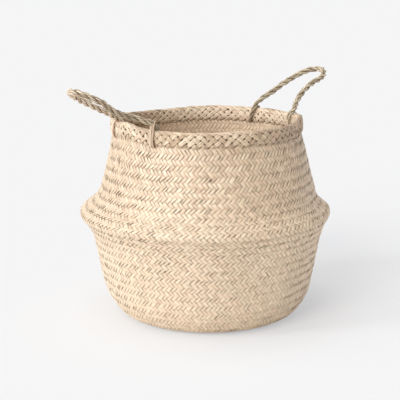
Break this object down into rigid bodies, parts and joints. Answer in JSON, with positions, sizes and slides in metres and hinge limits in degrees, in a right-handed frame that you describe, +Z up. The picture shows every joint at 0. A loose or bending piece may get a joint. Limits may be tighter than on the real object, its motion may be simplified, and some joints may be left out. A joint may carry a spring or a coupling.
{
  "type": "belly basket",
  "caption": "Round woven seagrass basket with a folded belly, a plaited border round its mouth and a twisted rope handle on each side, for plants, laundry or toys.",
  "frame": {"origin": "the middle of the basket's flat base, on the surface it stands on", "axes": "+Z up along the basket's axis, +X through the middle of one handle and -X through the other"},
  "size_m": [0.4537, 0.36, 0.3426],
  "materials": {
    "seagrass_wall": "woven dried leaf, matt with a faint sheen",
    "seagrass_border": "plaited dried leaf, matt with a faint sheen",
    "lashing_strip": "dried leaf, matt",
    "seagrass_rope": "twisted dried leaf with a green cast, matt"
  },
  "bodies": {
    "lower": {"lower_body": "seagrass_wall", "belly_shoulder": "seagrass_wall"},
    "neck": {"neck_wall": "seagrass_wall", "rim_border": "seagrass_border", "lashing_right_back_a": "lashing_strip", "lashing_right_back_b": "lashing_strip", "lashing_right_front_a": "lashing_strip", "lashing_right_front_b": "lashing_strip", "lashing_left_front_a": "lashing_strip", "lashing_left_front_b": "lashing_strip", "lashing_left_back_a": "lashing_strip", "lashing_left_back_b": "lashing_strip"},
    "right_handle": {"right_handle_strand_1": "seagrass_rope", "right_handle_strand_2": "seagrass_rope", "right_handle_strand_3": "seagrass_rope"},
    "left_handle": {"left_handle_strand_1": "seagrass_rope", "left_handle_strand_2": "seagrass_rope", "left_handle_strand_3": "seagrass_rope"}
  },
  "joints": [
    {"name": "belly_fold", "type": "slide", "parent": "lower", "child": "neck", "axis": [0, 0, 1], "range_m": [-0.02, 0.003], "deforming": ["belly_shoulder"]},
    {"name": "right_handle_swing", "type": "hinge", "parent": "neck", "child": "right_handle", "pos_m": [0.12484, 0, 0.28959], "axis": [0, -1, 0], "range_deg": [-25, 150]},
    {"name": "left_handle_swing", "type": "hinge", "parent": "neck", "child": "left_handle", "pos_m": [-0.12484, 0, 0.28959], "axis": [0, 1, 0], "range_deg": [-25, 150]}
  ]
}
